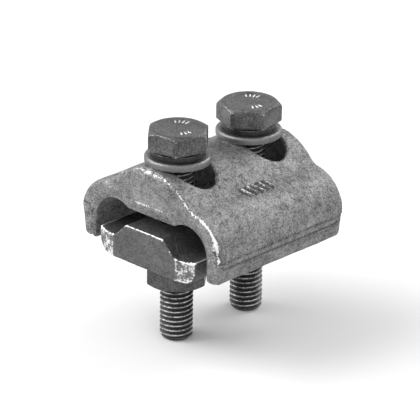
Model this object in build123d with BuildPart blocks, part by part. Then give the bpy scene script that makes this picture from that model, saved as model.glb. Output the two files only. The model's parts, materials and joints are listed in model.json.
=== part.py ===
"""Parallel groove clamp for two overhead conductors.

A cast saddle with two conductor grooves is drawn against a cast pressure plate by two hexagon
bolts.  Millimetres, +Z up.  X runs across the two grooves and Y along the conductors.  The origin
is on the vertical centre line, level with the ends of the bolts.
"""
import os
from math import cos, radians, sin, sqrt, tan

from build123d import *

# Fasteners (M10)
thread_diameter = 10.0
running_fit = 0.05          # radial play between a bolt and the nut that runs on it
bolt_length = 60.0          # under the head
bolt_spacing = 30.0
hex_across_flats = 17.0
head_height = 6.4
bearing_face_height = 0.5   # round face under the hexagon of the head
bearing_face_diameter = 15.6
hex_chamfer_angle = 30.0
hex_chamfer_diameter = 16.0  # flat top of the head and of the nut
bolt_end_chamfer = 1.1
nut_height = 8.4
nut_countersink = 0.7
spring_washer_outer = 16.4
spring_washer_bore = 10.3
spring_washer_thickness = 1.8
spring_washer_gap = 1.3
spring_washer_gap_lean = 22.0
flat_washer_outer = 19.8
flat_washer_bore = 10.6
flat_washer_thickness = 2.0
flat_washer_chamfer = 0.5
front_hex_turn = 10.6       # how far each hexagon happens to be turned about its bolt
rear_hex_turn = 39.5

# Saddle casting
end_wall = 5.4              # between a slot and the nearer end of the saddle
saddle_height = 28.8        # from the lips to the crown
side_wall = 5.75            # outside the groove, at its widest
crown_radius = 20.5
shoulder_radius = 12.2
shoulder_centre_height = 8.6
valley_radius = 6.0         # hollow between crown and shoulder
groove_radius = 8.2
groove_centre_height = 7.3
groove_spacing = 28.5       # between the centres of the two conductors
ceiling_height = 13.9
side_lean = 8.0             # degrees that each side leans in towards its lip
lip_round = 1.8
saddle_end_round = 1.6
lip_corner_round = 3.0
slot_width = 13.2
slot_length = 25.0
slot_edge_round = 0.7

# Pressure plate casting
plate_overhang = 2.0        # past each end of the saddle
plate_side_gap = 3.05       # between the plate and the inner walls of the saddle
plateau_width = 14.8
ceiling_gap = 3.8           # between the plateau and the saddle's ceiling as it stands
plate_valley_depth = 4.6    # grooves below the plateau
plate_tip_depth = 4.15      # outer edges below the plateau
plate_valley_width = 7.6    # shelf on which the conductor lies
plate_valley_inset = 3.0    # from the foot of the ramp to the lowest line of the shelf
plate_valley_dip = 0.3      # from the foot of the ramp down to that line
plate_thickness = 11.6      # at the plateau
plate_corner_round = 3.9
plate_end_flat = 24.8       # width of the end face between its two bevels
plate_end_bevel = 1.6
plate_edge_round = 0.5
bolt_hole_clearance = 0.55

# Places that follow from the stack of pieces, the grooves and the slots
flat_washer_top = bolt_length - spring_washer_thickness
crown_z = flat_washer_top - flat_washer_thickness
lip_z = crown_z - saddle_height
ceiling_z = lip_z + ceiling_height
plateau_z = ceiling_z - ceiling_gap
plate_bottom_z = plateau_z - plate_thickness
nut_bottom_z = plate_bottom_z - nut_height
groove_x = groove_spacing / 2
groove_wall_x = groove_x + groove_radius
saddle_half_width = groove_wall_x + side_wall
plate_half = groove_wall_x - plate_side_gap
saddle_length = bolt_spacing + slot_width + 2 * end_wall
plate_length = saddle_length + 2 * plate_overhang
bolt_places = {"front": -bolt_spacing / 2, "rear": bolt_spacing / 2}
hex_turns = {"front": front_hex_turn, "rear": rear_hex_turn}
shank_radius = thread_diameter / 2 - running_fit
hex_corner_radius = hex_across_flats / sqrt(3)


def saddle_half_profile():
    """Right half of the saddle's section, traced from the crown round the lip to the ceiling."""
    crown_centre = Vector(0, crown_z - crown_radius)
    shoulder_centre = Vector(saddle_half_width - shoulder_radius, lip_z + shoulder_centre_height)
    reach = shoulder_centre - crown_centre
    to_valley = crown_radius + valley_radius
    along = (to_valley**2 - (shoulder_radius + valley_radius) ** 2 + reach.length**2) / (2 * reach.length)
    across = sqrt(to_valley**2 - along**2)
    unit = reach.normalized()
    valley_centre = crown_centre + unit * along + Vector(-unit.Y, unit.X) * across
    crown_end = crown_centre + (valley_centre - crown_centre).normalized() * crown_radius
    shoulder_start = shoulder_centre + (valley_centre - shoulder_centre).normalized() * shoulder_radius

    outward = Vector(cos(radians(side_lean)), -sin(radians(side_lean)))
    downward = Vector(outward.Y, -outward.X)
    shoulder_end = shoulder_centre + outward * shoulder_radius
    lip_line = shoulder_centre + outward * (shoulder_radius - lip_round)
    lip_centre = lip_line + downward * ((lip_line.Y - lip_z - lip_round) / outward.X)
    lip_start = lip_centre + outward * lip_round
    groove_z = lip_z + groove_centre_height
    arch_end_x = groove_x - sqrt(groove_radius**2 - (ceiling_z - groove_z) ** 2)

    with BuildLine() as half:
        crown = TangentArc((0, crown_z), crown_end, tangent=(1, 0))
        valley = TangentArc(crown @ 1, shoulder_start, tangent=crown % 1)
        TangentArc(valley @ 1, shoulder_end, tangent=valley % 1)
        Line(shoulder_end, lip_start)
        TangentArc(lip_start, (lip_centre.X, lip_z), tangent=downward)
        Line((lip_centre.X, lip_z), (groove_wall_x + lip_round, lip_z))
        TangentArc((groove_wall_x + lip_round, lip_z), (groove_wall_x, lip_z + lip_round), tangent=(-1, 0))
        Line((groove_wall_x, lip_z + lip_round), (groove_wall_x, groove_z))
        ThreePointArc(
            (groove_wall_x, groove_z),
            (groove_x, groove_z + groove_radius),
            (arch_end_x, ceiling_z),
        )
        Line((arch_end_x, ceiling_z), (0, ceiling_z))
    return half.line


saddle_outline = saddle_half_profile()

with BuildPart() as upper_body:
    with BuildSketch(Plane.XZ):
        with BuildLine():
            add(saddle_outline)
            mirror(saddle_outline, about=Plane.YZ)
        make_face()
    extrude(amount=saddle_length / 2, both=True)
    fillet(upper_body.faces().filter_by(Axis.Y).edges(), saddle_end_round)
    with BuildSketch(Plane.YZ):
        with Locations((0, (lip_z + crown_z) / 2)):
            side_view = Rectangle(saddle_length, saddle_height)
        fillet(side_view.vertices().group_by(Axis.Z)[0], lip_corner_round)
    extrude(amount=saddle_half_width, both=True, mode=Mode.INTERSECT)
    with BuildSketch(Plane.XY.offset(lip_z)):
        with GridLocations(0, bolt_spacing, 1, 2):
            SlotOverall(slot_length, slot_width)
    extrude(amount=bolt_length - lip_z, mode=Mode.SUBTRACT)
    slot_rims = upper_body.edges(Select.LAST).filter_by(
        lambda edge: edge.center().Z > (ceiling_z + crown_z) / 2
    )
    fillet(slot_rims, slot_edge_round)
upper_body.part.label = "upper_body"

valley_z = plateau_z - plate_valley_depth
tip_z = plateau_z - plate_tip_depth
shelf_start = plate_half - plate_valley_width

with BuildPart() as lower_body:
    with BuildSketch(Plane.XZ):
        with BuildLine() as plate_outline:
            Line((0, plateau_z), (plateau_width / 2, plateau_z))
            Line((plateau_width / 2, plateau_z), (shelf_start, valley_z + plate_valley_dip))
            ThreePointArc(
                (shelf_start, valley_z + plate_valley_dip),
                (shelf_start + plate_valley_inset, valley_z),
                (plate_half, tip_z),
            )
            Line((plate_half, tip_z), (plate_half, plate_bottom_z + plate_corner_round))
            TangentArc(
                (plate_half, plate_bottom_z + plate_corner_round),
                (plate_half - plate_corner_round, plate_bottom_z),
                tangent=(0, -1),
            )
            Line((plate_half - plate_corner_round, plate_bottom_z), (0, plate_bottom_z))
            mirror(plate_outline.line, about=Plane.YZ)
        make_face()
    extrude(amount=plate_length / 2, both=True)
    fillet(lower_body.edges().filter_by(Axis.Y).group_by(Axis.Z)[-1], plate_edge_round)
    with BuildSketch(Plane.XY.offset(plate_bottom_z)):
        with BuildLine() as plan:
            Polyline(
                (0, plate_length / 2),
                (plate_end_flat / 2, plate_length / 2),
                (plate_half, plate_length / 2 - plate_end_bevel),
                (plate_half, 0),
            )
            mirror(plan.line, about=Plane.YZ)
            mirror(plan.line, about=Plane.XZ)
        make_face()
    extrude(amount=plate_thickness, mode=Mode.INTERSECT)
    with BuildSketch(Plane.XY.offset(plate_bottom_z)):
        with GridLocations(0, bolt_spacing, 1, 2):
            Circle(shank_radius + bolt_hole_clearance)
    extrude(amount=plate_thickness, mode=Mode.SUBTRACT)
lower_body.part.label = "lower_body"


def chamfered_hexagon(height, turn, both_ends):
    """Hexagonal prism standing on XY, its corners turned off by a cone at one or both ends."""
    top_radius = hex_chamfer_diameter / 2
    drop = (hex_corner_radius - top_radius) * tan(radians(hex_chamfer_angle))
    with BuildPart() as prism:
        with BuildSketch():
            RegularPolygon(hex_corner_radius, 6, rotation=turn)
        extrude(amount=height)
        with BuildSketch(Plane.XZ):
            with BuildLine():
                Polyline(
                    (0, 0),
                    (top_radius if both_ends else hex_corner_radius, 0),
                    (hex_corner_radius, drop),
                    (hex_corner_radius, height - drop),
                    (top_radius, height),
                    (0, height),
                    close=True,
                )
            make_face()
        revolve(axis=Axis.Z, mode=Mode.INTERSECT)
    return prism.part


bolts = {}
spring_washers = {}
flat_washers = {}
nuts = {}
for place, y in bolt_places.items():
    hexagon = chamfered_hexagon(head_height - bearing_face_height, hex_turns[place], both_ends=False)
    with BuildPart() as bolt:
        with BuildSketch(Plane.XY):
            with Locations((0, y)):
                Circle(shank_radius)
        extrude(amount=bolt_length)
        chamfer(bolt.edges().sort_by(Axis.Z)[0], bolt_end_chamfer)
        with BuildSketch(Plane.XY.offset(bolt_length)):
            with Locations((0, y)):
                Circle(bearing_face_diameter / 2)
        extrude(amount=bearing_face_height)
        with Locations((0, y, bolt_length + bearing_face_height)):
            add(hexagon)
    bolt.part.label = f"{place}_bolt"
    bolts[place] = bolt

    with BuildPart() as spring_washer:
        with BuildSketch(Plane.XY.offset(flat_washer_top)):
            with Locations((0, y)):
                Circle(spring_washer_outer / 2)
                Circle(spring_washer_bore / 2, mode=Mode.SUBTRACT)
        extrude(amount=spring_washer_thickness)
        slit = (-spring_washer_outer / 2, y, bolt_length - spring_washer_thickness / 2)
        with Locations(Location(slit, (spring_washer_gap_lean, 0, 0))):
            Box(spring_washer_outer, spring_washer_gap, spring_washer_outer, mode=Mode.SUBTRACT)
    spring_washer.part.label = f"{place}_spring_washer"
    spring_washers[place] = spring_washer

    with BuildPart() as flat_washer:
        with BuildSketch(Plane.XY.offset(crown_z)):
            with Locations((0, y)):
                Circle(flat_washer_outer / 2)
                Circle(flat_washer_bore / 2, mode=Mode.SUBTRACT)
        extrude(amount=flat_washer_thickness)
        chamfer(flat_washer.edges().group_by(Axis.Z)[-1].sort_by(SortBy.RADIUS)[-1], flat_washer_chamfer)
    flat_washer.part.label = f"{place}_flat_washer"
    flat_washers[place] = flat_washer

    nut_blank = chamfered_hexagon(nut_height, hex_turns[place], both_ends=True)
    with BuildPart() as nut:
        with Locations((0, y, nut_bottom_z)):
            add(nut_blank)
        with BuildSketch(Plane.XY.offset(nut_bottom_z)):
            with Locations((0, y)):
                Circle(thread_diameter / 2)
        extrude(amount=nut_height, mode=Mode.SUBTRACT)
        bore_rims = nut.edges().filter_by(GeomType.CIRCLE).group_by(SortBy.RADIUS)[0]
        chamfer(bore_rims, nut_countersink)
    nut.part.label = f"{place}_nut"
    nuts[place] = nut

os.makedirs("parts", exist_ok=True)
export_step(upper_body.part, "parts/upper_body.step")
export_step(lower_body.part, "parts/lower_body.step")
for place in bolt_places:
    export_step(bolts[place].part, f"parts/{place}_bolt.step")
    export_step(spring_washers[place].part, f"parts/{place}_spring_washer.step")
    export_step(flat_washers[place].part, f"parts/{place}_flat_washer.step")
    export_step(nuts[place].part, f"parts/{place}_nut.step")
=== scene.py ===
"""Looks of a parallel groove clamp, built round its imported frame."""
import json
from math import cos, pi, radians, sin, tan

import bmesh
import bpy
import numpy as np
from mathutils import Matrix, Vector, noise


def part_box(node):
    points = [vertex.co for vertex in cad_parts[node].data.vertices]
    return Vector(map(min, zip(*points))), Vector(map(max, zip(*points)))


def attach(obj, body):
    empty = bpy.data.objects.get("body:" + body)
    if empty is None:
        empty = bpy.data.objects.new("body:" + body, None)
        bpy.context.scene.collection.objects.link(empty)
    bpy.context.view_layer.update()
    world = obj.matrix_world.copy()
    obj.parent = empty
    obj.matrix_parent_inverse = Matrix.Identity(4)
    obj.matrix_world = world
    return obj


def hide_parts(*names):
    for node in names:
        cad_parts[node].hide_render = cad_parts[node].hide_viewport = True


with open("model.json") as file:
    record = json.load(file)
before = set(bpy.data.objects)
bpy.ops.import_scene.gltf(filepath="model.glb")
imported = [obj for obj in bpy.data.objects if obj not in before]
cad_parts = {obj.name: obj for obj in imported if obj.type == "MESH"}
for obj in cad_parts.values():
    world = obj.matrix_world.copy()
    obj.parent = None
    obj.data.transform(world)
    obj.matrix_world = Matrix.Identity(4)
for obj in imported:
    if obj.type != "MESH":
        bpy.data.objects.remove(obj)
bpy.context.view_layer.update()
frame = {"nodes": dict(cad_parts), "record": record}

bl_info = {
    "name": "Parallel Groove Clamp",
    "version": (1, 0, 0),
    "blender": (4, 5, 0),
    "location": "View3D > Sidebar > Clamp",
    "description": "Dresses the castings, bolts, nuts and washers of a parallel groove clamp",
    "category": "Object",
}

PLACES = ("front", "rear")
MARK_GROUPS = ((4, 100), (3, -35))      # how many raised bars, and from which angle in degrees
MM = 0.001
MARK_STEP = radians(15)                 # between two bars of a group
MARK_LENGTH, MARK_WIDTH = 1.8 * MM, 0.42 * MM
STROKE_PLACE = 0.64                     # share of the saddle's half width
STROKE_LEAN = 0.35
BEVEL_START = 0.63                      # share of the plate's half width
# SPRING_SHADE takes the spring washers, painted dark as shade under the heads, darker still in
# patches
PLATE_SHADE, NUT_SHADE, SPRING_SHADE = 0.46, 0.85, 0.5
SKY_LIGHT = 0.55                        # strength of the sky as the object is lit by it
FLOOR_HALF = 6.0
LAMP_AIM = (0, 0, 0.04)
LAMPS = (                               # name, place, size and power of each soft box
    ("key", (-0.5, -0.4, 0.6), 0.65, 6.5),
    ("fill", (0.6, -0.35, 0.4), 0.5, 1.0),
    ("back", (0.1, 0.6, 0.5), 0.4, 2.0),
)


def bolt_axis(place):
    """Middle of a bolt in plan, from the flat washer that it passes through."""
    low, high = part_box(f"{place}_flat_washer")
    return (low[0] + high[0]) / 2, (low[1] + high[1]) / 2


def bolt_under_head():
    """Height of the underside of the bolt heads, where the spring washers end."""
    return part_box("front_spring_washer")[1][2]


class ClampSizes(bpy.types.PropertyGroup):
    """Sizes of the finish and of the threads."""

    thread_pitch: bpy.props.FloatProperty(
        name="Thread pitch", description="Rise of the thread in one turn",
        default=1.5 * MM, unit="LENGTH", precision=5)
    thread_depth: bpy.props.FloatProperty(
        name="Thread depth", description="From the crest to the root of the thread",
        default=0.85 * MM, unit="LENGTH", precision=5)
    tip_chamfer: bpy.props.FloatProperty(
        name="Tip chamfer", description="Chamfer at the end of the thread",
        default=1.1 * MM, unit="LENGTH", precision=5)
    casting_grain: bpy.props.FloatProperty(
        name="Casting mesh", description="Size of the faces on the castings",
        default=0.4 * MM, unit="LENGTH", precision=5)
    steel_grain: bpy.props.FloatProperty(
        name="Fastener mesh", description="Size of the faces on heads and nuts",
        default=0.26 * MM, unit="LENGTH", precision=5)
    casting_swell: bpy.props.FloatProperty(
        name="Casting swell", description="Height of the slow unevenness of a casting",
        default=0.16 * MM, unit="LENGTH", precision=5)
    casting_pits: bpy.props.FloatProperty(
        name="Casting pits", description="Depth of the fine unevenness of a casting",
        default=0.05 * MM, unit="LENGTH", precision=5)
    mouth_band: bpy.props.FloatProperty(
        name="Mouth band", description="Width of the eased band above the mouth of the grooves",
        default=3.7 * MM, unit="LENGTH", precision=5)
    mouth_depth: bpy.props.FloatProperty(
        name="Mouth depth", description="How far the band falls back at the edge of the mouth",
        default=1.0 * MM, unit="LENGTH", precision=5)
    flange_height: bpy.props.FloatProperty(
        name="Flange height", description="Top of the thinner flange along each lip",
        default=5.6 * MM, unit="LENGTH", precision=5)
    flange_step: bpy.props.FloatProperty(
        name="Flange step", description="How much the flange is set in from the side above it",
        default=0.35 * MM, unit="LENGTH", precision=5)
    flange_inset: bpy.props.FloatProperty(
        name="Flange inset", description="Where the top of the flange starts to turn up at an end",
        default=2.6 * MM, unit="LENGTH", precision=5)
    seam_height: bpy.props.FloatProperty(
        name="Seam height", description="Height of the seam of the mould above the lips",
        default=8.6 * MM, unit="LENGTH", precision=5)
    seam_rise: bpy.props.FloatProperty(
        name="Seam rise", description="How far the seam of the mould stands out",
        default=0.22 * MM, unit="LENGTH", precision=5)
    stroke_pitch: bpy.props.FloatProperty(
        name="Stroke pitch", description="Between the raised strokes on the shoulder",
        default=2.4 * MM, unit="LENGTH", precision=5)
    stroke_length: bpy.props.FloatProperty(
        name="Stroke length", description="Length of the raised strokes on the shoulder",
        default=4.6 * MM, unit="LENGTH", precision=5)
    stroke_rise: bpy.props.FloatProperty(
        name="Stroke rise", description="How far the strokes on the shoulder stand out",
        default=0.6 * MM, unit="LENGTH", precision=5)
    head_dish: bpy.props.FloatProperty(
        name="Head dish", description="Depth of the shallow dish in the top of a bolt head",
        default=0.3 * MM, unit="LENGTH", precision=5)
    head_rim: bpy.props.FloatProperty(
        name="Head rim", description="Radius of the dish in the top of a bolt head",
        default=6.8 * MM, unit="LENGTH", precision=5)


class ClampFinishes(bpy.types.PropertyGroup):
    """Colours of the metals."""

    casting: bpy.props.FloatVectorProperty(
        name="Casting", description="Grey of the clean casting", subtype="COLOR",
        size=3, min=0, max=1, default=(0.373, 0.373, 0.373))
    # also the colour that painted shade takes the castings toward
    casting_dark: bpy.props.FloatVectorProperty(
        name="Casting, weathered", description="Grey of the oxidised patches", subtype="COLOR",
        size=3, min=0, max=1, default=(0.07, 0.07, 0.07))
    # also the colour of painted highlights on edges, raised marks and thread crests
    worn_edge: bpy.props.FloatVectorProperty(
        name="Worn edge", description="Bright metal where an edge has rubbed", subtype="COLOR",
        size=3, min=0, max=1, default=(0.85, 0.85, 0.85))
    steel: bpy.props.FloatVectorProperty(
        name="Fastener steel", description="Grey of heads, nuts and threads", subtype="COLOR",
        size=3, min=0, max=1, default=(0.156, 0.156, 0.156))
    # also the colour that painted shade takes the fasteners toward, and the base of the spring
    # washers, made dark as painted shade under the bolt heads
    steel_dark: bpy.props.FloatVectorProperty(
        name="Fastener steel, stained", description="Dark patches on the fasteners",
        subtype="COLOR", size=3, min=0, max=1, default=(0.055, 0.055, 0.055))
    washer: bpy.props.FloatVectorProperty(
        name="Flat washer", description="Zinc of the flat washers", subtype="COLOR",
        size=3, min=0, max=1, default=(0.19, 0.19, 0.19))


class ClampStage(bpy.types.PropertyGroup):
    """Camera and backdrop."""

    azimuth: bpy.props.FloatProperty(
        name="Azimuth", description="Turn of the camera from the end of the clamp",
        default=radians(43.44), subtype="ANGLE")
    elevation: bpy.props.FloatProperty(
        name="Elevation", description="Height of the camera above the horizon",
        default=radians(23.11), subtype="ANGLE")
    roll: bpy.props.FloatProperty(
        name="Roll", description="Lean of the camera about its own line of sight",
        default=radians(0.82), subtype="ANGLE")
    distance: bpy.props.FloatProperty(
        name="Distance", description="From the camera to the point it looks at",
        default=1.043, unit="LENGTH")
    view_width: bpy.props.FloatProperty(
        name="View width", description="Angle that the picture spans",
        default=radians(6.9), subtype="ANGLE")
    aim: bpy.props.FloatVectorProperty(
        name="Aim", description="Point in the middle of the picture", subtype="XYZ",
        size=3, default=(-0.00948, 0.00885, 0.03033), precision=5)
    floor: bpy.props.FloatVectorProperty(
        name="Floor", description="Pale floor and background", subtype="COLOR",
        size=3, min=0, max=1, default=(0.93, 0.93, 0.93))


class Value:
    """A node's output that takes part in sums, each of which adds a Math node."""

    def __init__(self, graph, socket):
        self.graph = graph
        self.socket = socket

    def math(self, operation, *others):
        operands = dict(enumerate((self, *others)))
        return self.graph.node("ShaderNodeMath", {"operation": operation}, operands).value()

    def __add__(self, other):
        return self.math("ADD", other)

    def __radd__(self, other):
        return self.math("ADD", other)

    def __sub__(self, other):
        return self.math("SUBTRACT", other)

    def __rsub__(self, other):
        return self.math("MULTIPLY", -1.0) + other

    def __mul__(self, other):
        return self.math("MULTIPLY", other)

    def __rmul__(self, other):
        return self.math("MULTIPLY", other)

    def __truediv__(self, other):
        return self.math("DIVIDE", other)

    def least(self, other):
        return self.math("MINIMUM", other)

    def most(self, other):
        return self.math("MAXIMUM", other)

    def step(self, low, high):
        """0 below low, 1 above high and smooth between."""
        settings = {"interpolation_type": "SMOOTHSTEP"}
        inputs = {"Value": self, "From Min": low, "From Max": high}
        return self.graph.node("ShaderNodeMapRange", settings, inputs).value("Result")


class Placed:
    """A node just added to a graph."""

    def __init__(self, graph, made):
        self.graph = graph
        self.made = made

    def value(self, output=0):
        return Value(self.graph, self.made.outputs[output])


class Graph:
    """A node tree that is written as Python expressions."""

    def __init__(self, tree):
        self.tree = tree

    def node(self, kind, settings=None, inputs=None):
        made = self.tree.nodes.new(kind)
        for name, setting in (settings or {}).items():
            setattr(made, name, setting)
        for name, given in (inputs or {}).items():
            socket = made.inputs[name]
            if isinstance(given, Value):
                self.tree.links.new(given.socket, socket)
            else:
                socket.default_value = given
        return Placed(self, made)


class Metal(Graph):
    """A metal's material: one Principled shader on a clean tree."""

    def __init__(self, name):
        self.material = bpy.data.materials.new(name)
        self.material.use_nodes = True
        super().__init__(self.material.node_tree)
        self.tree.nodes.clear()
        self.place = self.node("ShaderNodeTexCoord").value("Object")

    def noise(self, size, detail=3.0, roughness=0.55, stretch=(1, 1, 1)):
        """Noise of about one patch in each size, given in metres."""
        scaled = self.node("ShaderNodeMapping", {}, {
            "Vector": self.place, "Scale": tuple(part / size for part in stretch)}).value()
        return self.node("ShaderNodeTexNoise", {}, {
            "Vector": scaled, "Scale": 1.0, "Detail": detail, "Roughness": roughness}).value("Fac")

    def mix(self, factor, first, second):
        """Colour between first and second, each a colour or a Value."""
        settings = {"data_type": "RGBA"}
        made = self.node("ShaderNodeMix", settings)
        ends = {"A_Color": first, "B_Color": second, "Factor_Float": factor}
        for identifier, given in ends.items():
            socket = next(s for s in made.made.inputs if s.identifier == identifier)
            if isinstance(given, Value):
                self.tree.links.new(given.socket, socket)
            else:
                socket.default_value = (*given, 1.0)
        out = next(s for s in made.made.outputs if s.identifier == "Result_Color")
        return Value(self, out)

    def bump(self, height, distance, strength):
        inputs = {"Height": height, "Distance": distance, "Strength": strength}
        return self.node("ShaderNodeBump", {}, inputs).value("Normal")

    def attribute(self, name):
        return self.node("ShaderNodeAttribute", {"attribute_name": name}).value("Fac")

    def finish(self, color, roughness, normal, metallic):
        shader = self.node("ShaderNodeBsdfPrincipled", {}, {
            "Base Color": color, "Roughness": roughness, "Normal": normal, "Metallic": metallic})
        out = self.node("ShaderNodeOutputMaterial")
        self.tree.links.new(shader.made.outputs[0], out.made.inputs["Surface"])
        return self.material


def casting_metal(name, clean, dark, wear_and_highlight_colour):
    """Cast aluminium: grain, oxidised patches, edges rubbed bright with painted highlights, and
    painted shade.
    """
    metal = Metal(name)
    patches = metal.noise(11 * MM, detail=4.0, roughness=0.6)
    mottle = metal.noise(2.2 * MM, detail=3.0, roughness=0.7)
    grain = metal.noise(0.55 * MM, detail=2.0, roughness=0.7)
    pits = metal.noise(1.1 * MM, detail=2.0, roughness=0.6).step(0.6, 0.7)
    broken = (mottle - 0.5) * 1.3 + (grain - 0.5) * 0.8 + (patches - 0.5)
    # worn edges and painted highlights take the bright colour; the shade layer paints shade, and
    # paints light where it is below 0
    worn_and_highlit = (metal.attribute("wear") + broken).step(0.5, 0.85)
    painted_shading = metal.attribute("hollow")
    tone = (patches * 0.7 + mottle * 1.1 + grain * 1.5).step(1.05, 2.25)
    tone = (tone - pits * 0.25 - painted_shading * 0.6).most(0.0)
    color = metal.mix(tone, dark, clean)
    color = metal.mix(worn_and_highlit, color, wear_and_highlight_colour)
    roughness = 0.6 - tone * 0.1 - worn_and_highlit * 0.2
    normal = metal.bump(grain * 0.6 + mottle * 1.5, 0.35 * MM, 0.8)
    return metal.finish(color, roughness, normal, 0.8 - worn_and_highlit * 0.4)


def fastener_metal(name, clean, dark, wear_and_highlight_colour):
    """Dull zinc over steel, stained in patches, with brighter corners that are worn and carry
    painted highlights, and painted shade in hollows.
    """
    metal = Metal(name)
    patches = metal.noise(3.5 * MM, detail=4.0, roughness=0.65)
    grain = metal.noise(0.5 * MM, detail=3.0, roughness=0.65)
    drawn = metal.noise(0.35 * MM, detail=1.0, stretch=(1, 1, 0.1))
    broken = (grain - 0.5) * 1.2 + (patches - 0.5) * 0.8
    # worn corners and painted highlights take the bright colour
    worn_and_highlit = (metal.attribute("wear") + broken).step(0.45, 1.0)
    tone = (patches * 0.8 + grain * 1.6 + drawn * 0.4).step(1.05, 1.75)
    # painted shade from the shade layer
    tone = (tone - metal.attribute("hollow") * 0.9).most(0.0)
    color = metal.mix(tone, dark, clean)
    color = metal.mix(worn_and_highlit * 0.75, color, wear_and_highlight_colour)
    roughness = 0.5 - tone * 0.12 - worn_and_highlit * 0.15
    normal = metal.bump(grain + drawn * 0.5, 0.12 * MM, 0.8)
    return metal.finish(color, roughness, normal, 0.9 - worn_and_highlit * 0.3)


def shaded(color, share):
    """A colour taken down to a share of itself."""
    return [share * part for part in color]


def copied(node, name):
    """A closed copy of a CAD node's mesh, with its doubled corners merged."""
    piece = frame["nodes"][node].copy()
    piece.data = piece.data.copy()
    piece.name = name
    piece.data.name = name
    piece.parent = None
    for key in list(piece.keys()):
        del piece[key]
    bpy.context.scene.collection.objects.link(piece)
    piece.data.materials.clear()
    mesh = bmesh.new()
    mesh.from_mesh(piece.data)
    bmesh.ops.remove_doubles(mesh, verts=mesh.verts, dist=1e-6)
    mesh.to_mesh(piece.data)
    mesh.free()
    return piece


def apply_modifiers(piece):
    """Turns the evaluated piece into its plain mesh."""
    graph = bpy.context.evaluated_depsgraph_get()
    result = bpy.data.meshes.new_from_object(piece.evaluated_get(graph))
    result.name = piece.name
    piece.modifiers.clear()
    piece.data = result


def soften(piece, voxel, rounds):
    """Remeshes a closed piece in even faces and rounds its edges a little."""
    remesh = piece.modifiers.new("even", "REMESH")
    remesh.mode = "VOXEL"
    remesh.voxel_size = voxel
    smooth = piece.modifiers.new("round", "SMOOTH")
    smooth.factor = 0.5
    smooth.iterations = rounds
    apply_modifiers(piece)


def corners_of(mesh):
    """Places and normals of a mesh's corners, one row each."""
    places = np.empty(len(mesh.vertices) * 3)
    mesh.vertices.foreach_get("co", places)
    normals = np.empty(len(mesh.vertices) * 3)
    mesh.vertices.foreach_get("normal", normals)
    return places.reshape(-1, 3), normals.reshape(-1, 3)


def curvature(mesh, blur):
    """Mean curvature at each corner in 1/m, out of edges above 0, blurred over the mesh."""
    places, normals = corners_of(mesh)
    ends = np.empty(len(mesh.edges) * 2, dtype=np.int64)
    mesh.edges.foreach_get("vertices", ends)
    first, second = ends.reshape(-1, 2).T
    apart = places[second] - places[first]
    square = (apart**2).sum(1) + 1e-12
    count = np.maximum(np.bincount(ends, minlength=len(places)), 1)
    bend = np.bincount(first, -2 * (normals[first] * apart).sum(1) / square, len(places))
    bend += np.bincount(second, 2 * (normals[second] * apart).sum(1) / square, len(places))
    bend /= count
    for _ in range(blur):
        spread = np.bincount(first, bend[second], len(places))
        spread += np.bincount(second, bend[first], len(places))
        bend = 0.4 * bend + 0.6 * spread / count
    return bend


def smooth_step(values, low, high):
    """0 below low, 1 above high and smooth between."""
    part = np.clip((values - low) / (high - low), 0, 1)
    return part * part * (3 - 2 * part)


def store(mesh, name, numbers):
    """Keeps one number for each corner as a layer that the materials read."""
    layer = mesh.attributes.new(name, "FLOAT", "POINT")
    layer.data.foreach_set("value", np.ascontiguousarray(numbers, dtype=np.float32))


def weather(piece, swell, pits, swell_size, pit_size, wear_from, wear_to, blur=2):
    """Moves the surface as a casting's does, and notes where its edges stand out, for wear with
    painted highlights, and where it is hollow, for painted shade.
    """
    mesh = piece.data
    bend = curvature(mesh, blur)
    places, normals = corners_of(mesh)
    rise = np.array([
        swell * noise.noise(Vector(p) / swell_size) + pits * noise.noise(Vector(p) / pit_size)
        for p in places])
    mesh.vertices.foreach_set("co", (places + normals * rise[:, None]).ravel())
    # convex edges get wear with a painted highlight; concave hollows get painted shade
    store(mesh, "wear", smooth_step(bend, wear_from, wear_to))
    store(mesh, "hollow", smooth_step(-bend, wear_from, wear_to * 1.5))
    mesh.update()


def add_to(mesh, name, numbers):
    """Adds numbers to a stored layer and keeps it between -1 and 1."""
    layer = mesh.attributes[name].data
    before = np.empty(len(layer), dtype=np.float32)
    layer.foreach_get("value", before)
    layer.foreach_set("value", np.clip(before + numbers, -1, 1).astype(np.float32))


def groove_axes():
    """Places (x, z) of the two conductors and the radius of their grooves."""
    mounts = [m for m in frame["record"]["mounts"] if m["name"].endswith("_groove")]
    return [(m["pos_m"][0], m["pos_m"][2]) for m in mounts], mounts[0]["dims"]["r_mm"] * MM


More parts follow.
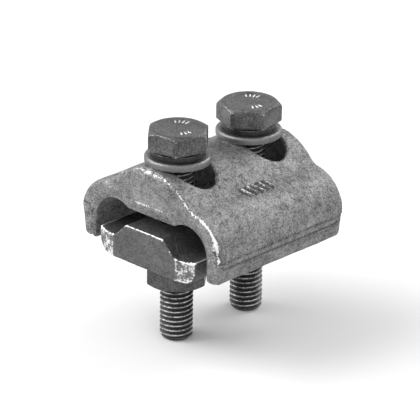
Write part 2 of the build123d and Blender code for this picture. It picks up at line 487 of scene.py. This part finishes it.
def saddle_relief(piece, sizes):
    """Eases the mouths, sets the lip flanges in and raises the seams of the mould; paints wear with
    a highlight along the front rim, and paints shade along the flange step, under the seam, between
    the bolts and in the grooves.
    """
    mesh = piece.data
    places, normals = corners_of(mesh)
    low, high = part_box("upper_body")
    x, y, z = np.abs(places[:, 0]), np.abs(places[:, 1]), places[:, 2]
    axes, radius = groove_axes()
    groove_x, groove_z = max(axes)
    middle = (x < 2 * MM) & (y > high[1] - 4 * MM)
    ceiling = z[middle].min()
    arch = np.hypot(x - groove_x, z - groove_z) - radius
    wall = np.where(z < groove_z, np.abs(x - groove_x) - radius, arch)
    roof = np.where(x < groove_x, z - ceiling, np.inf)
    away = np.minimum(np.minimum(arch, wall), roof)
    band = sizes.mouth_band * (1 - 0.55 * smooth_step(x, groove_x, groove_x + radius))
    depth = sizes.mouth_depth * np.clip(1 - away / band, 0, 1)
    depth *= normals[:, 1] * places[:, 1] > 0
    y = np.minimum(y, high[1] - depth)
    side = smooth_step(x, groove_x + radius, groove_x + radius + MM)
    side *= normals[:, 0] * places[:, 0] > 0
    turn_up = 1 - smooth_step(high[1] - y, 0, sizes.flange_inset)
    flange_top = low[2] + sizes.flange_height * (1 + turn_up)
    step = side * smooth_step(flange_top - z, 0, 0.5 * MM)
    seam = side * np.exp(-((z - low[2] - sizes.seam_height) / (0.4 * MM)) ** 2)
    moved = places + normals * (seam * sizes.seam_rise - step * sizes.flange_step)[:, None]
    moved[:, 1] = np.where(depth > 0, np.sign(places[:, 1]) * y, moved[:, 1])
    mesh.vertices.foreach_set("co", moved.ravel())
    facing = np.abs(normals[:, 1])
    # front rim: wear with a painted highlight on faces that tilt up toward the front, stronger to
    # the right
    rim_wear_and_highlight = np.exp(-((facing - 0.72) / 0.2) ** 2) * (away > 2 * MM) * (z > groove_z)
    rim_wear_and_highlight *= 0.55 + 0.45 * smooth_step(places[:, 0] * np.sign(-places[:, 1]), -9 * MM, 0)
    ridge = smooth_step(facing, 0.6, 0.9) * np.exp(-((away - band) / (0.3 * MM)) ** 2)
    add_to(mesh, "wear", 0.78 * rim_wear_and_highlight + 0.42 * ridge + seam * 0.25)
    # painted shade: a line along the flange step, a painted shadow under the seam, shade between
    # the bolts and inside the grooves
    line = side * np.exp(-((z - flange_top) / (0.35 * MM)) ** 2)
    shade_between_bolts = smooth_step(4.2 * MM - np.hypot(places[:, 0], places[:, 1]), 0, 0.8 * MM)
    groove_shade = (away < 0.3 * MM) * smooth_step(high[1] - y, 0, 6 * MM)
    shadow_under_seam = side * np.exp(-((z - low[2] - sizes.seam_height + 0.8 * MM) / (0.4 * MM)) ** 2)
    add_to(mesh, "hollow", line + 0.6 * shadow_under_seam
           + 0.35 * shade_between_bolts * (z > ceiling + 5 * MM) + 0.25 * groove_shade)
    mesh.update()


def saddle_marks(piece, sizes):
    """Raises a row of plain cast strokes on one shoulder, with painted highlights on their tops and
    painted shade beside them, and a bead of flash at its end.
    """
    mesh = piece.data
    places, normals = corners_of(mesh)
    low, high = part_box("upper_body")
    x, y, z = places.T
    across = x - STROKE_PLACE * high[0]
    along = y - STROKE_LEAN * across
    pitch = sizes.stroke_pitch
    nearest = np.abs(along - pitch * np.clip(np.round(along / pitch), -2, 2))
    row = smooth_step(sizes.stroke_length / 2 - np.abs(across), 0, 0.4 * MM)
    row *= normals[:, 2] > 0.3
    stroke = row * smooth_step(0.8 * MM - nearest, 0, 0.5 * MM)
    shade = row * smooth_step(1.4 * MM - nearest, 0, 0.4 * MM) - stroke
    flash = np.exp(-((x - 0.93 * high[0]) / (1.3 * MM)) ** 2
                   - ((z - low[2] - 13 * MM) / (2.6 * MM)) ** 2)
    flash *= smooth_step(low[1] + 3 * MM - y, 0, 1.5 * MM)
    rise = stroke * sizes.stroke_rise + flash * 0.8 * MM
    mesh.vertices.foreach_set("co", (places + normals * rise[:, None]).ravel())
    # painted highlight on the stroke tops; painted shade beside them
    add_to(mesh, "wear", 0.6 * stroke + 0.5 * flash)
    add_to(mesh, "hollow", 0.9 * shade)
    mesh.update()


def plate_painted_light(piece):
    """Paints shade on the plate's upper faces, which lie in the grooves, paints light on two end
    bevels, and keeps worn and highlighted edges off faces that do not face up.
    """
    mesh = piece.data
    places, normals = corners_of(mesh)
    low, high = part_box("lower_body")
    # painted shade on the upper faces in the grooves
    add_to(mesh, "hollow", 0.2 * smooth_step(normals[:, 2], 0.5, 0.9))
    # painted light on the two end bevels; no worn or highlighted edges on faces that do not face up
    bevel = smooth_step(np.abs(places[:, 0]) - BEVEL_START * high[0], 0, 0.4 * MM)
    bevel *= smooth_step(np.abs(normals[:, 1]), 0.7, 0.95)
    add_to(mesh, "hollow", -0.9 * bevel)
    add_to(mesh, "wear", 0.6 * bevel - (normals[:, 2] < 0.1) * (1 - bevel))


def within(piece, node, seat=0.0):
    """Keeps every corner of a piece inside the box of its CAD node, and seat above its foot."""
    low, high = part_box(node)
    foot = (low[0], low[1], low[2] + seat)
    places, _ = corners_of(piece.data)
    piece.data.vertices.foreach_set("co", np.clip(places, foot, high).ravel())
    piece.data.update()


def dress(piece, node, body, material):
    """Gives a piece its finish and puts it in the place of its CAD node."""
    piece.data.materials.clear()
    piece.data.materials.append(material)
    piece.data.shade_smooth()
    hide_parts(node)
    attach(piece, body)


class CLAMP_OT_saddle(bpy.types.Operator):
    """Makes the cast saddle with its two grooves and two slots"""

    bl_idname = "clamp.saddle"
    bl_label = "Saddle"

    def execute(self, context):
        sizes = context.scene.clamp_sizes
        finish = context.scene.clamp_finishes
        piece = copied("upper_body", "saddle")
        soften(piece, sizes.casting_grain, 3)
        weather(piece, sizes.casting_swell, sizes.casting_pits, 7 * MM, 1.3 * MM,
                wear_from=500, wear_to=1500)
        saddle_relief(piece, sizes)
        saddle_marks(piece, sizes)
        within(piece, "upper_body")
        metal = casting_metal("saddle_casting", finish.casting,
                              finish.casting_dark, finish.worn_edge)
        dress(piece, "upper_body", "saddle", metal)
        return {"FINISHED"}


class CLAMP_OT_pressure_plate(bpy.types.Operator):
    """Makes the cast pressure plate under the conductors"""

    bl_idname = "clamp.pressure_plate"
    bl_label = "Pressure plate"

    def execute(self, context):
        sizes = context.scene.clamp_sizes
        finish = context.scene.clamp_finishes
        piece = copied("lower_body", "pressure_plate")
        soften(piece, 0.75 * sizes.casting_grain, 5)
        weather(piece, sizes.casting_swell, 1.4 * sizes.casting_pits, 6 * MM, 1.1 * MM,
                wear_from=250, wear_to=1100, blur=5)
        plate_painted_light(piece)
        within(piece, "lower_body")
        metal = casting_metal("plate_casting", shaded(finish.casting, PLATE_SHADE),
                              finish.casting_dark, finish.worn_edge)
        dress(piece, "lower_body", "pressure_plate", metal)
        return {"FINISHED"}


def input_socket(tree, name, kind, default=None):
    """Adds a named input to a node tree."""
    socket = tree.interface.new_socket(name, in_out="INPUT", socket_type=kind)
    if default is not None:
        socket.default_value = default


def thread_tree():
    """Geometry nodes for a threaded rod that stands on the origin."""
    tree = bpy.data.node_groups.new("threaded_rod", "GeometryNodeTree")
    tree.interface.new_socket("Geometry", in_out="OUTPUT", socket_type="NodeSocketGeometry")
    for name in ("Length", "Radius", "Depth", "Pitch", "Chamfer"):
        input_socket(tree, name, "NodeSocketFloat", 0.01)
    input_socket(tree, "Sides", "NodeSocketInt", 48)
    input_socket(tree, "Rows", "NodeSocketInt", 320)
    input_socket(tree, "Material", "NodeSocketMaterial")
    graph = Graph(tree)
    given = graph.node("NodeGroupInput")
    length, radius, depth, pitch, chamfer, sides, rows, material = (
        given.value(name) for name in
        ("Length", "Radius", "Depth", "Pitch", "Chamfer", "Sides", "Rows", "Material"))
    skin = graph.node("GeometryNodeMeshGrid", {}, {
        "Size X": 1.0, "Size Y": 1.0, "Vertices X": sides + 1, "Vertices Y": rows}).value("Mesh")
    spot = graph.node("ShaderNodeSeparateXYZ", {}, {
        0: graph.node("GeometryNodeInputPosition").value()})
    turn = spot.value("X")
    height = (spot.value("Y") + 0.5) * length
    phase = (height / pitch - turn).math("FRACT")
    ridge = ((1.0 - (phase * 2.0 - 1.0).math("ABSOLUTE")) * 1.35 - 0.1).most(0.0).least(1.0)
    reach = radius - depth * (1.0 - ridge)
    end = radius - chamfer
    reach = reach.least(end + height).least(end + (length - height))
    angle = turn * (2 * pi)
    place = graph.node("ShaderNodeCombineXYZ", {}, {
        "X": reach * angle.math("COSINE"), "Y": reach * angle.math("SINE"), "Z": height}).value()
    skin = graph.node("GeometryNodeSetPosition", {}, {"Geometry": skin, "Position": place}).value()
    cap = graph.node("GeometryNodeMeshCircle", {"fill_type": "NGON"}, {
        "Vertices": sides, "Radius": end}).value()
    turned = graph.node("GeometryNodeTransform", {}, {
        "Geometry": cap, "Rotation": (pi, 0.0, 0.0)}).value()
    top = graph.node("ShaderNodeCombineXYZ", {}, {"Z": length}).value()
    lifted = graph.node("GeometryNodeTransform", {}, {"Geometry": cap, "Translation": top}).value()
    join = graph.node("GeometryNodeJoinGeometry")
    for part in (skin, turned, lifted):
        tree.links.new(part.socket, join.made.inputs[0])
    sealed = graph.node("GeometryNodeMergeByDistance", {}, {
        "Geometry": join.value(), "Distance": 1e-6}).value()
    whole = graph.node("GeometryNodeRealizeInstances", {}, {"Geometry": sealed}).value()
    done = graph.node("GeometryNodeSetMaterial", {}, {
        "Geometry": whole, "Material": material}).value()
    out = graph.node("NodeGroupOutput")
    tree.links.new(done.socket, out.made.inputs[0])
    return tree


def marks_tree():
    """Geometry nodes for short raised bars that stand on an arc about the origin."""
    tree = bpy.data.node_groups.new("raised_marks", "GeometryNodeTree")
    tree.interface.new_socket("Geometry", in_out="OUTPUT", socket_type="NodeSocketGeometry")
    input_socket(tree, "Count", "NodeSocketInt", 4)
    for name in ("Radius", "Start", "Step", "Bar Length", "Bar Width", "Bar Height"):
        input_socket(tree, name, "NodeSocketFloat", 0.001)
    input_socket(tree, "Material", "NodeSocketMaterial")
    graph = Graph(tree)
    given = graph.node("NodeGroupInput")
    count, radius, start, step, long, wide, tall, material = (
        given.value(name) for name in
        ("Count", "Radius", "Start", "Step", "Bar Length", "Bar Width", "Bar Height", "Material"))
    angle = start + graph.node("GeometryNodeInputIndex").value() * step
    place = graph.node("ShaderNodeCombineXYZ", {}, {
        "X": radius * angle.math("COSINE"), "Y": radius * angle.math("SINE"), "Z": 0.0}).value()
    line = graph.node("GeometryNodeMeshLine", {}, {"Count": count}).value()
    spots = graph.node("GeometryNodeSetPosition", {}, {"Geometry": line, "Position": place}).value()
    size = graph.node("ShaderNodeCombineXYZ", {}, {"X": long, "Y": wide, "Z": tall}).value()
    bar = graph.node("GeometryNodeMeshCube", {}, {"Size": size}).value()
    turn = graph.node("ShaderNodeCombineXYZ", {}, {"X": 0.0, "Y": 0.0, "Z": angle}).value()
    bars = graph.node("GeometryNodeInstanceOnPoints", {}, {
        "Points": spots, "Instance": bar, "Rotation": turn}).value()
    whole = graph.node("GeometryNodeRealizeInstances", {}, {"Geometry": bars}).value()
    done = graph.node("GeometryNodeSetMaterial", {}, {
        "Geometry": whole, "Material": material}).value()
    out = graph.node("NodeGroupOutput")
    tree.links.new(done.socket, out.made.inputs[0])
    return tree


def grown(name, tree, inputs):
    """The plain mesh object that a geometry node tree makes from its named inputs."""
    piece = bpy.data.objects.new(name, bpy.data.meshes.new(name))
    bpy.context.scene.collection.objects.link(piece)
    modifier = piece.modifiers.new(name, "NODES")
    modifier.node_group = tree
    sockets = {item.name: item.identifier for item in tree.interface.items_tree
               if item.in_out == "INPUT"}
    for key, given in inputs.items():
        modifier[sockets[key]] = given
    apply_modifiers(piece)
    return piece


def join(target, others):
    """Adds the meshes of other objects to the target's and deletes them."""
    mesh = bmesh.new()
    mesh.from_mesh(target.data)
    for other in others:
        mesh.from_mesh(other.data)
        bpy.data.objects.remove(other)
    mesh.to_mesh(target.data)
    mesh.free()


def bolt_head(node, place, sizes):
    """The head of a bolt: the CAD form with worn edges and a shallow dish in its top."""
    head = copied(node, f"{place}_head")
    seat = bolt_under_head()
    mesh = bmesh.new()
    mesh.from_mesh(head.data)
    cut = [*mesh.verts, *mesh.edges, *mesh.faces]
    bmesh.ops.bisect_plane(mesh, geom=cut, plane_co=(0, 0, seat + 1e-5), plane_no=(0, 0, -1),
                           clear_outer=True)
    bmesh.ops.holes_fill(mesh, edges=[edge for edge in mesh.edges if edge.is_boundary])
    mesh.to_mesh(head.data)
    mesh.free()
    soften(head, sizes.steel_grain, 2)
    places, _ = corners_of(head.data)
    x, y = bolt_axis(place)
    out = np.hypot(places[:, 0] - x, places[:, 1] - y)
    top = places[:, 2].max()
    dish = np.clip((sizes.head_rim - out) / (0.5 * MM), 0, 1) * (places[:, 2] > top - 0.4 * MM)
    places[:, 2] -= sizes.head_dish * dish
    head.data.vertices.foreach_set("co", places.ravel())
    head.data.update()
    return head


class CLAMP_OT_bolts(bpy.types.Operator):
    """Makes the two hexagon head bolts with their threads"""

    bl_idname = "clamp.bolts"
    bl_label = "Bolts"

    def execute(self, context):
        sizes = context.scene.clamp_sizes
        finish = context.scene.clamp_finishes
        metal = fastener_metal("bolt_steel", finish.steel, finish.steel_dark, finish.worn_edge)
        tree = thread_tree()
        marks = marks_tree()
        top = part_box("front_bolt")[1][2]
        for place in PLACES:
            node = f"{place}_bolt"
            x, y = bolt_axis(place)
            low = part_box(node)[0]
            length = bolt_under_head() - low[2] + MM
            shank = grown(f"{place}_shank", tree, {
                "Length": length, "Radius": shank_radius(node), "Depth": sizes.thread_depth,
                "Pitch": sizes.thread_pitch, "Chamfer": sizes.tip_chamfer,
                "Sides": 56, "Rows": int(length / sizes.thread_pitch * 9), "Material": metal})
            shank.data.transform(Matrix.Translation((x, y, low[2])))
            head = bolt_head(node, place, sizes)
            weather(head, 0.03 * MM, 0.02 * MM, 3 * MM, 0.8 * MM,
                    wear_from=500, wear_to=1900, blur=1)
            head.name = f"{place}_hex_bolt"
            thread_painted_light(shank, x, y)
            raised = [grown(f"{place}_marks_{index}", marks, {
                "Count": count, "Radius": 0.7 * sizes.head_rim, "Start": radians(start),
                "Step": MARK_STEP, "Bar Length": MARK_LENGTH, "Bar Width": MARK_WIDTH,
                "Bar Height": 2 * sizes.head_dish, "Material": metal})
                for index, (count, start) in enumerate(MARK_GROUPS)]
            for bars in raised:
                bars.data.transform(Matrix.Translation((x, y, top - sizes.head_dish)))
                # painted highlight: the raised bars carry bright glints
                store(bars.data, "wear", np.full(len(bars.data.vertices), 0.9))
                store(bars.data, "hollow", np.zeros(len(bars.data.vertices)))
            join(head, [shank, *raised])
            within(head, node)
            dress(head, node, f"{place}_screw", metal)
        return {"FINISHED"}


def thread_painted_light(shank, x, y):
    """Paints highlights on the crests of a thread and paints shade in its roots."""
    places, _ = corners_of(shank.data)
    out = np.hypot(places[:, 0] - x, places[:, 1] - y)
    crest = out.max()
    # painted highlight on the crests; painted shade in the roots
    store(shank.data, "wear", 0.75 * smooth_step(out, crest - 0.3 * MM, crest))
    store(shank.data, "hollow", smooth_step(crest - out, 0.2 * MM, 0.6 * MM))


def shank_radius(node):
    """Radius of a bolt's shank, from the corners of its CAD mesh near its middle."""
    places, _ = corners_of(frame["nodes"][node].data)
    low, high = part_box(node)
    x, y = (low[0] + high[0]) / 2, (low[1] + high[1]) / 2
    below = places[places[:, 2] < bolt_under_head() - 2 * MM]
    return float(np.hypot(below[:, 0] - x, below[:, 1] - y).max())


class CLAMP_OT_nuts(bpy.types.Operator):
    """Makes the two hexagon nuts"""

    bl_idname = "clamp.nuts"
    bl_label = "Nuts"

    def execute(self, context):
        sizes = context.scene.clamp_sizes
        finish = context.scene.clamp_finishes
        metal = fastener_metal("nut_steel", shaded(finish.steel, NUT_SHADE),
                               finish.steel_dark, finish.worn_edge)
        for place in PLACES:
            node = f"{place}_nut"
            piece = copied(node, f"{place}_hex_nut")
            soften(piece, sizes.steel_grain, 2)
            weather(piece, 0.04 * MM, 0.02 * MM, 3 * MM, 0.8 * MM,
                    wear_from=700, wear_to=3000, blur=1)
            within(piece, node)
            dress(piece, node, "pressure_plate", metal)
        return {"FINISHED"}


class CLAMP_OT_washers(bpy.types.Operator):
    """Makes the flat washers and the split spring washers"""

    bl_idname = "clamp.washers"
    bl_label = "Washers"

    def execute(self, context):
        finish = context.scene.clamp_finishes
        zinc = fastener_metal("washer_zinc", finish.washer, finish.steel, finish.worn_edge)
        # the spring washers are made dark as painted shade under the bolt heads
        spring = fastener_metal("spring_steel", finish.steel_dark,
                                shaded(finish.steel_dark, SPRING_SHADE), finish.steel)
        kinds = (("flat_washer", "plain_washer", "washer_zinc", zinc, "saddle"),
                 ("spring_washer", "split_washer", "spring_steel", spring, None))
        for place in PLACES:
            for kind, name, slot, metal, body in kinds:
                node = f"{place}_{kind}"
                piece = copied(node, f"{place}_{name}")
                soften(piece, 0.2 * MM, 1)
                weather(piece, 0, 0, 4 * MM, 0.8 * MM, wear_from=400, wear_to=1600, blur=1)
                within(piece, node, 0.01 * MM)
                dress(piece, node, body or f"{place}_screw", metal)
        return {"FINISHED"}


def soft_light(name, place, aim, size, power):
    """A square soft box that faces a point."""
    lamp = bpy.data.lights.new(name, "AREA")
    lamp.shape = "SQUARE"
    lamp.size = size
    lamp.energy = power
    holder = bpy.data.objects.new(name, lamp)
    holder.location = place
    holder.rotation_euler = (Vector(aim) - Vector(place)).to_track_quat("-Z", "Y").to_euler()
    bpy.context.scene.collection.objects.link(holder)


class CLAMP_OT_stage(bpy.types.Operator):
    """Makes the pale floor, the soft lights and the camera"""

    bl_idname = "clamp.stage"
    bl_label = "Stage"

    def execute(self, context):
        stage = context.scene.clamp_stage
        self.camera(context.scene, stage)
        self.floor(stage)
        self.world(context.scene, stage)
        self.lights()
        context.scene.view_settings.view_transform = "Standard"
        return {"FINISHED"}

    def camera(self, scene, stage):
        lens = bpy.data.cameras.new("camera")
        lens.sensor_width = 36.0
        lens.lens = lens.sensor_width / 2 / tan(stage.view_width / 2)
        lens.clip_start = 0.05
        lens.clip_end = 20.0
        camera = bpy.data.objects.new("camera", lens)
        out = Vector((sin(stage.azimuth) * cos(stage.elevation),
                      -cos(stage.azimuth) * cos(stage.elevation), sin(stage.elevation)))
        look = (-out).to_track_quat("-Z", "Y").to_matrix() @ Matrix.Rotation(stage.roll, 3, "Z")
        stand = Matrix.Translation(Vector(stage.aim) + out * stage.distance)
        camera.matrix_world = stand @ look.to_4x4()
        scene.collection.objects.link(camera)
        scene.camera = camera

    def floor(self, stage):
        mesh = bpy.data.meshes.new("floor")
        corners = [(x * FLOOR_HALF, y * FLOOR_HALF, 0) for x, y in
                   ((-1, -1), (1, -1), (1, 1), (-1, 1))]
        mesh.from_pydata(corners, [], [(0, 1, 2, 3)])
        floor = bpy.data.objects.new("floor", mesh)
        bpy.context.scene.collection.objects.link(floor)
        material = bpy.data.materials.new("floor")
        material.use_nodes = True
        shader = material.node_tree.nodes["Principled BSDF"]
        shader.inputs["Base Color"].default_value = (*stage.floor, 1.0)
        shader.inputs["Roughness"].default_value = 0.9
        mesh.materials.append(material)

    def world(self, scene, stage):
        world = bpy.data.worlds.new("studio")
        world.use_nodes = True
        graph = Graph(world.node_tree)
        graph.tree.nodes.clear()
        path = graph.node("ShaderNodeLightPath")
        seen = path.value("Is Camera Ray").most(path.value("Is Glossy Ray"))
        seen = seen.most(path.value("Is Transmission Ray"))
        strength = seen * (1.0 - SKY_LIGHT) + SKY_LIGHT
        sky = graph.node("ShaderNodeBackground", {}, {"Color": (1, 1, 1, 1), "Strength": strength})
        out = graph.node("ShaderNodeOutputWorld")
        graph.tree.links.new(sky.made.outputs[0], out.made.inputs["Surface"])
        scene.world = world

    def lights(self):
        for name, place, size, power in LAMPS:
            soft_light(name, place, LAMP_AIM, size, power)


class CLAMP_PT_panel(bpy.types.Panel):
    """Lists the pieces of the clamp in the sidebar"""

    bl_idname = "CLAMP_PT_panel"
    bl_label = "Parallel Groove Clamp"
    bl_space_type = "VIEW_3D"
    bl_region_type = "UI"
    bl_category = "Clamp"

    def draw(self, context):
        layout = self.layout
        for group in (context.scene.clamp_sizes, context.scene.clamp_finishes,
                      context.scene.clamp_stage):
            column = layout.column()
            for name in group.__annotations__:
                column.prop(group, name)
        for operator in OPERATORS:
            layout.operator(operator.bl_idname)


GROUPS = {"clamp_sizes": ClampSizes, "clamp_finishes": ClampFinishes, "clamp_stage": ClampStage}
OPERATORS = (CLAMP_OT_stage, CLAMP_OT_saddle, CLAMP_OT_pressure_plate, CLAMP_OT_bolts,
             CLAMP_OT_nuts, CLAMP_OT_washers)


def register():
    for kind in (*GROUPS.values(), *OPERATORS, CLAMP_PT_panel):
        bpy.utils.register_class(kind)
    for name, group in GROUPS.items():
        setattr(bpy.types.Scene, name, bpy.props.PointerProperty(type=group))


def unregister():
    for name in GROUPS:
        delattr(bpy.types.Scene, name)
    for kind in reversed((*GROUPS.values(), *OPERATORS, CLAMP_PT_panel)):
        bpy.utils.unregister_class(kind)


def main():
    register()
    bpy.ops.clamp.stage()
    bpy.ops.clamp.saddle()
    bpy.ops.clamp.pressure_plate()
    bpy.ops.clamp.bolts()
    bpy.ops.clamp.nuts()
    bpy.ops.clamp.washers()


if __name__ == "__main__":
    main()
